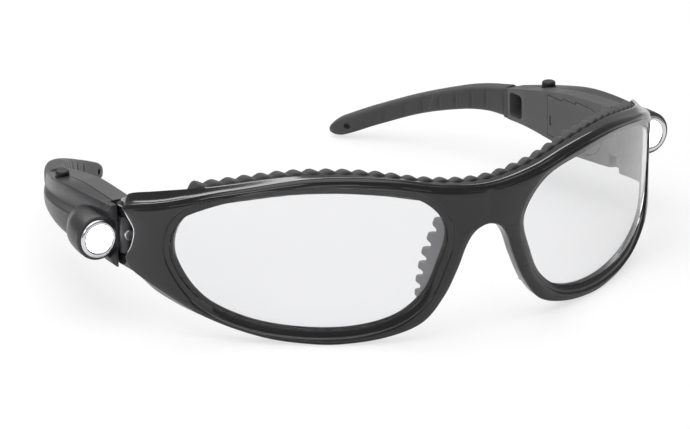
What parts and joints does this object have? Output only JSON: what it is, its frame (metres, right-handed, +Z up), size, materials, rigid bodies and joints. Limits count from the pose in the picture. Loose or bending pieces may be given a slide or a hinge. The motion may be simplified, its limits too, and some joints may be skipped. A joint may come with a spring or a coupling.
{
  "type": "lighted magnifier glasses",
  "caption": "Wraparound magnifying glasses with a small lamp on each temple, a push button, a battery door and soft ear tips.",
  "frame": {"origin": "middle of the footprint, on the surface that the rims and ear tips rest on", "axes": "+X to the wearer's left, +Y back towards the ears, +Z up"},
  "size_m": [0.1498, 0.1352, 0.0395],
  "materials": {
    "frame_plastic": "high gloss injection moulded",
    "temple_plastic": "satin gloss moulded",
    "cover_plastic": "fine matte moulded",
    "soft_rubber": "matte",
    "pad_rubber": "matte",
    "tip_rubber": "matte, fine grain",
    "button_plastic": "matte with fine ribs",
    "switch_plastic": "matte",
    "lens_clear": "clear polished",
    "lamp_clear": "clear polished",
    "led_body": "clear epoxy, domed",
    "bezel_chrome": "bright plated",
    "reflector_mirror": "bright metallised",
    "cell_steel": "nickel plated",
    "contact_metal": "spring strip",
    "screw_steel": "plain"
  },
  "bodies": {
    "root": {"front_frame": "frame_plastic", "brow_guard": "soft_rubber", "lens_left": "lens_clear", "nose_pad_left": "pad_rubber", "hinge_pin_left": "screw_steel", "lens_right": "lens_clear", "nose_pad_right": "pad_rubber", "hinge_pin_right": "screw_steel"},
    "temple_left": {"temple_housing_left": "temple_plastic", "temple_cover_left": "cover_plastic", "coin_cells_left": "cell_steel", "contact_strip_left": "contact_metal", "cover_screws_left": "screw_steel", "switch_body_left": "switch_plastic", "pin_lock_screw_left": "screw_steel", "lamp_bezel_left": "bezel_chrome", "lamp_lens_left": "lamp_clear", "lamp_reflector_left": "reflector_mirror", "lamp_led_left": "led_body", "ear_tip_left": "tip_rubber"},
    "button_left": {"push_button_left": "button_plastic"},
    "door_left": {"battery_door_left": "cover_plastic", "door_strip_left": "contact_metal"},
    "temple_right": {"temple_housing_right": "temple_plastic", "temple_cover_right": "cover_plastic", "coin_cells_right": "cell_steel", "contact_strip_right": "contact_metal", "cover_screws_right": "screw_steel", "switch_body_right": "switch_plastic", "pin_lock_screw_right": "screw_steel", "lamp_bezel_right": "bezel_chrome", "lamp_lens_right": "lamp_clear", "lamp_reflector_right": "reflector_mirror", "lamp_led_right": "led_body", "ear_tip_right": "tip_rubber"},
    "button_right": {"push_button_right": "button_plastic"},
    "door_right": {"battery_door_right": "cover_plastic", "door_strip_right": "contact_metal"}
  },
  "joints": [
    {"name": "temple_fold_left", "type": "hinge", "parent": "root", "child": "temple_left", "pos_m": [0.0627, -0.0177, 0.01909], "axis": [0, 0, 1], "range_deg": [0, 86]},
    {"name": "button_press_left", "type": "slide", "parent": "temple_left", "child": "button_left", "axis": [0, 0, -1], "range_m": [0, 0.0005], "stiffness_N_per_m": 300},
    {"name": "door_slide_left", "type": "slide", "parent": "temple_left", "child": "door_left", "axis": [-1, 0, 0], "range_m": [0, 0.005]},
    {"name": "temple_fold_right", "type": "hinge", "parent": "root", "child": "temple_right", "pos_m": [-0.0627, -0.0177, 0.01909], "axis": [0, 0, -1], "range_deg": [0, 72]},
    {"name": "button_press_right", "type": "slide", "parent": "temple_right", "child": "button_right", "axis": [0, 0, -1], "range_m": [0, 0.0005], "stiffness_N_per_m": 300},
    {"name": "door_slide_right", "type": "slide", "parent": "temple_right", "child": "door_right", "axis": [1, 0, 0], "range_m": [0, 0.005]}
  ]
}
